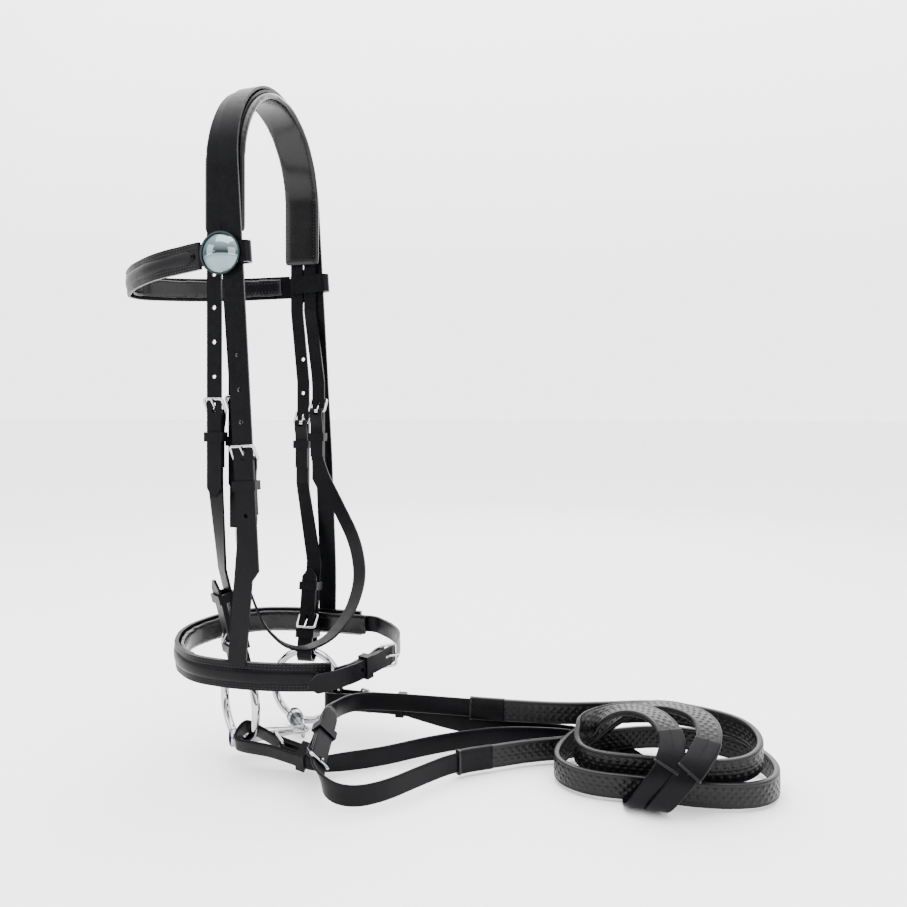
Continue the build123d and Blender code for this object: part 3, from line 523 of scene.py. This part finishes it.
def near_rein_route():
    """Near rein: ring, past its buckle, under and over the knot, and back to the centre."""
    start, end = Station("near_rein"), Station("rein_centre")
    loop = loop_points(start, tip=-0.028, spread=0.0096, reach=0.0435, far=-0.030)
    to_knot = [(0.098, -0.046, -0.5885), (0.126, -0.028, -0.5885), (0.160, -0.002, -0.586),
               (0.194, 0.020, -0.585), (0.226, 0.036, -0.585), (0.280, 0.046, -0.586)]
    under = [(0.304, 0.044, -0.590), (0.326, 0.028, -0.5952), (0.340, -0.004, -0.5955),
             (0.340, -0.045, -0.5955)]
    front = [(0.342, -0.066, -0.595), (0.354, -0.072, -0.577), (0.369, -0.068, -0.556),
             (0.372, -0.052, -0.541)]
    arch = [(0.358, -0.026, -0.533), (0.330, 0.002, -0.540), (0.300, 0.012, -0.558)]
    coil = [(0.290, -0.012, -0.572), (0.306, -0.034, -0.575), (0.352, -0.034, -0.575),
            (0.400, -0.038, -0.573), (0.432, -0.030, -0.570), (0.445, -0.002, -0.566),
            (0.436, 0.032, -0.562), (0.404, 0.050, -0.560), (0.360, 0.054, -0.558),
            (0.320, 0.046, -0.560)]
    out = [(0.280, 0.043, -0.563), (0.236, 0.039, -0.563), (0.190, 0.038, -0.563),
           (0.150, 0.038, -0.563), (0.110, 0.037, -0.563), (0.086, 0.033, -0.563),
           (0.075, 0.014, -0.561), (0.073, -0.012, -0.559)]
    fold = [end.point(along, outward) for along, outward in (
        (-0.047, FOLDED), (-0.020, FOLDED), (0.0036, FOLDED), (0.0036, -FOLDED),
        (-0.006, -FOLDED), (-0.014, 0.0002), (-0.034, 0.0002))]
    arch_widths = [(0.8, 0.6, 0), (0.6, 0.75, 0.2), (0.2, 0.4, 0.9)]
    return route_of((loop, start.across), (to_knot, UP), (under, UNDER_WIDTHS),
                    (front, SIDEWAYS), (arch, arch_widths), (coil, UP), (out, UP),
                    (fold, end.across))


def off_rein_route():
    """Off rein: ring, past its buckle, under and over the knot, and through the centre."""
    start, end = Station("off_rein"), Station("rein_centre")
    loop = loop_points(start, tip=-0.046, spread=0.0074, reach=0.0455, far=-0.039)
    to_knot = [(0.136, 0.051, -0.575), (0.180, 0.051, -0.584), (0.226, 0.052, -0.585),
               (0.280, 0.055, -0.586)]
    under = [(0.306, 0.058, -0.591), (0.338, 0.044, -0.5952), (0.360, 0.008, -0.5955),
             (0.358, -0.045, -0.5955)]
    front = [(0.357, -0.070, -0.595), (0.370, -0.075, -0.577), (0.387, -0.070, -0.556),
             (0.401, -0.050, -0.541)]
    arch = [(0.396, -0.020, -0.534), (0.366, 0.004, -0.535), (0.336, 0.024, -0.549),
            (0.300, 0.030, -0.573)]
    coil = [(0.276, 0.004, -0.584), (0.277, -0.028, -0.586), (0.304, -0.048, -0.586),
            (0.350, -0.047, -0.586), (0.405, -0.050, -0.586), (0.446, -0.036, -0.586),
            (0.458, 0.0, -0.586), (0.444, 0.042, -0.586), (0.405, 0.062, -0.584),
            (0.355, 0.060, -0.583), (0.312, 0.036, -0.583)]
    out = [(0.280, 0.018, -0.585), (0.252, 0.006, -0.585), (0.222, -0.014, -0.585),
           (0.192, -0.034, -0.585), (0.170, -0.068, -0.585), (0.150, -0.102, -0.585),
           (0.128, -0.118, -0.585), (0.104, -0.110, -0.584)]
    through = [end.point(along, BILLET) for along in (0.015, 0.0, -0.030, -0.056)]
    arch_widths = [(0.8, 0.5, 0), (0.7, 0.7, 0), (0.5, 0.7, 0.4), (0.1, 0.3, 0.9)]
    return route_of((loop, start.across), (to_knot, UP), (under, UNDER_WIDTHS),
                    (front, SIDEWAYS), (arch, arch_widths), (coil, UP), (out, UP),
                    (through, end.across))


def length_at(route, point):
    """How far along a route its nearest place to a point lies."""
    point = Vector(point)
    nearest = min(range(len(route.places)), key=lambda i: (route.places[i] - point).length)
    return route.lengths[nearest]


def make_rein(side, route, sleeve_foot, grip_foot, swapped, tips):
    """A rein's leather, its rubber grip and the two plain sleeves at the grip's ends."""
    strap = ribbon(f"{side}_rein", route, REIN, REIN_THICK, FLAT, STRAP_LEATHER, tips=tips)
    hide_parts(*swapped)
    start = length_at(route, sleeve_foot)
    end = length_at(route, grip_foot)
    covered = route.between(start + SLEEVE - LAP, end - SLEEVE + LAP, step=0.0008)
    grip = ribbon(f"{side}_grip", covered, GRIP_WIDTH, GRIP_THICK, GRIPPED, GRIP, relief=pimples)
    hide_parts(f"{side}_rein_grip")
    sleeves = []
    spans = ((start, start + SLEEVE, start), (end - SLEEVE, end, end - BEAD))
    for number, (low, high, rim) in enumerate(spans, 1):
        part = route.between(low, high, step=0.002)
        piece = ribbon(f"{side}_sleeve_{number}", part, SLEEVE_WIDTH, SLEEVE_THICK, FLAT,
                       STRAP_LEATHER)
        rows = [row(part, 0.0, face) for face in (-1.0, 1.0)]
        thread = stitches(f"{side}_sleeve_thread_{number}", piece.data, rows, "bridle")
        foot = route.between(rim, rim + BEAD, step=0.0006)
        bead = ribbon(f"{side}_bead_{number}", foot, BEAD_WIDTH, BEAD_THICK, FLAT, SOFT_LEATHER)
        sleeves += [piece, thread, bead]
    return strap, [grip] + sleeves


def make_reins():
    """Both reins, each one flat strap from its bit ring."""
    near = near_rein_route()
    off = off_rein_route()
    jobs = (
        ("near", near, (0.364, -0.069, -0.560), (0.190, 0.038, -0.563),
         ("near_rein_bit_end", "near_rein_hand_end"), (0.008, 0.0)),
        ("off", off, (0.382, -0.071, -0.560), (0.192, -0.034, -0.585),
         ("off_rein_bit_end", "off_rein_hand_end", "rein_bundle"), (0.008, 0.008)),
    )
    for side, route, sleeve_foot, grip_foot, swapped, tips in jobs:
        strap, pieces = make_rein(side, route, sleeve_foot, grip_foot, swapped, tips)


# ---------------------------------------------------------------- padded pieces
def soft_copy(name, source, voxel, rounds):
    """A padded form made from a CAD solid: remeshed evenly, then its edges rolled over."""
    mesh = nodes[source].data.copy()
    raw = bpy.data.objects.new(name, mesh)
    bpy.context.scene.collection.objects.link(raw)
    remesh = raw.modifiers.new("even", "REMESH")
    remesh.mode = "VOXEL"
    remesh.voxel_size = voxel
    smooth = raw.modifiers.new("roll", "SMOOTH")
    smooth.factor = 0.6
    smooth.iterations = rounds
    bpy.context.view_layer.update()
    depsgraph = bpy.context.evaluated_depsgraph_get()
    shaped = bpy.data.meshes.new_from_object(raw.evaluated_get(depsgraph))
    bpy.data.objects.remove(raw)
    shaped.materials.clear()
    return shaped


def padded_piece(name, source, body, voxel=0.0014, rounds=22):
    """A soft copy that takes a CAD pad's place."""
    piece = linked(name, soft_copy(name, source, voxel, rounds), SOFT_LEATHER, body)
    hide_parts(source)
    return piece


BROW_DIP = math.radians(-3.9)
BROW = Matrix.Translation((0, 0, -0.155)) @ Matrix.Rotation(BROW_DIP, 4, "Y")
BROW_UP = BROW.to_3x3() @ UP
BROW_HALF_LEATHER = 0.0014
NOSE_TILT = math.radians(5.5)
NOSE = Matrix.Translation((0, 0, -0.505)) @ Matrix.Rotation(NOSE_TILT, 4, "X")
NOSE_UP = NOSE.to_3x3() @ UP
BAND_STEPS = 14               # steps between a band's control points
HEAD_MIDDLE_X = 0.02          # a point inside every band


def brow_points():
    """Control points of the browband's centre line, from the near temple to the off one."""
    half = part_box("browband")[1].y - BROW_HALF_LEATHER
    near = [(-0.014, -half), (-0.068, -half * 0.80), (-0.112, -half * 0.45)]
    off = [(x, -y) for x, y in reversed(near)]
    flat = near + [(-0.138, -half * 0.12), (-0.138, half * 0.12)] + off
    return [BROW @ Vector((x, y, 0)) for x, y in flat]


def nose_points():
    """Control points of the noseband's centre line, from its near end to its off end."""
    half = 0.073
    front = -0.080
    near = [(0.092, -half * 0.86), (0.048, -half * 0.98), (0.005, -half),
            (-0.038, -half * 0.90), (-0.068, -half * 0.56)]
    off = [(-0.068, half * 0.56), (-0.038, half * 0.90), (0.005, half), (0.072, half * 0.97)]
    middle = [(front, -half * 0.15), (front, half * 0.15)]
    return [NOSE @ Vector((x, y, 0)) for x, y in near + middle + off]


def outward_sense(route):
    """1 where a band's faces point away from the middle of the head, and -1 where they don't."""
    first = route.places[0]
    away = first - Vector((HEAD_MIDDLE_X, 0, first.z))
    return 1.0 if route.faces[0].dot(away) > 0 else -1.0


def raised_band(name, source, points, upward, offset, body, edge):
    """The padded ridge along a band's outer face, and two stitch rows each side of it."""
    width, thickness, end_gap, tip = 0.0125, 0.0036, 0.006, 0.008
    beside = width / 2 + 0.0009
    ridge = Route(points, [upward] * len(points), BAND_STEPS)
    sense = outward_sense(ridge)
    ridge.places = [place + face * (sense * offset)
                    for place, face in zip(ridge.places, ridge.faces)]
    ridge.faces = [face * sense for face in ridge.faces]
    ridge = ridge.between(end_gap, ridge.lengths[-1] - end_gap)
    piece = ribbon(name, ridge, width, thickness, DOMED, STRAP_LEATHER, body, tips=(tip, tip))
    rows = [row(ridge, across) for across in (-edge, -beside, beside, edge)]
    thread = stitches(f"{name}_thread", nodes[source].data, rows, body)


def lining_seams(name, pad, points, upward, acrosses, body):
    """Stitch rows along the inner face of a band's soft lining."""
    end_gap = 0.010
    route = Route(points, [upward] * len(points), BAND_STEPS)
    seam = route.between(end_gap, route.lengths[-1] - end_gap)
    rows = [row(seam, across, -outward_sense(route)) for across in acrosses]
    thread = stitches(f"{name}_seams", pad.data, rows, body)


def crown_seams(pad):
    """Stitch rows near both edges of the crown's padding, on the side that rests on the poll."""
    radius, centre, foot, inset, steps = 0.0815, -0.078, -0.130, 0.005, 40
    low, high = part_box("headpiece_padding")
    angles = [math.pi * step / steps for step in range(steps + 1)]
    rows = []
    for x in (low.x + inset, high.x - inset):
        places = [Vector((x, radius * math.cos(angle), radius * math.sin(angle) + centre))
                  for angle in angles]
        outward = [Vector((0, -math.cos(angle), -math.sin(angle))) for angle in angles]
        rows.append(([Vector((x, radius, foot))] + places + [Vector((x, -radius, foot))],
                     [outward[0]] + outward + [outward[-1]]))
    thread = stitches("crown_seams", pad.data, rows, "bridle")


def make_bands():
    """Linings, ridges and stitching of the crown, browband and noseband."""
    crown_pad = padded_piece("crown_pad", "headpiece_padding", "bridle", voxel=0.0018, rounds=30)
    crown_seams(crown_pad)
    brow_pad = padded_piece("brow_pad", "browband_lining", "browband")
    lining_seams("brow", brow_pad, brow_points(), BROW_UP, (-0.0045, 0.0045), "browband")
    nose_pad = padded_piece("nose_pad", "noseband_padding", "bridle")
    raised_band("brow_ridge", "browband", brow_points(), BROW_UP, BROW_HALF_LEATHER, "browband",
                edge=0.0098)
    lining_seams("nose", nose_pad, nose_points(), NOSE_UP, (-0.0055, 0.0055), "bridle")
    raised_band("nose_ridge", "noseband", nose_points(), NOSE_UP, 0.0018, "bridle", edge=0.0100)


make_camera()
make_studio()
finish_cad_nodes()
make_reins()
make_bands()
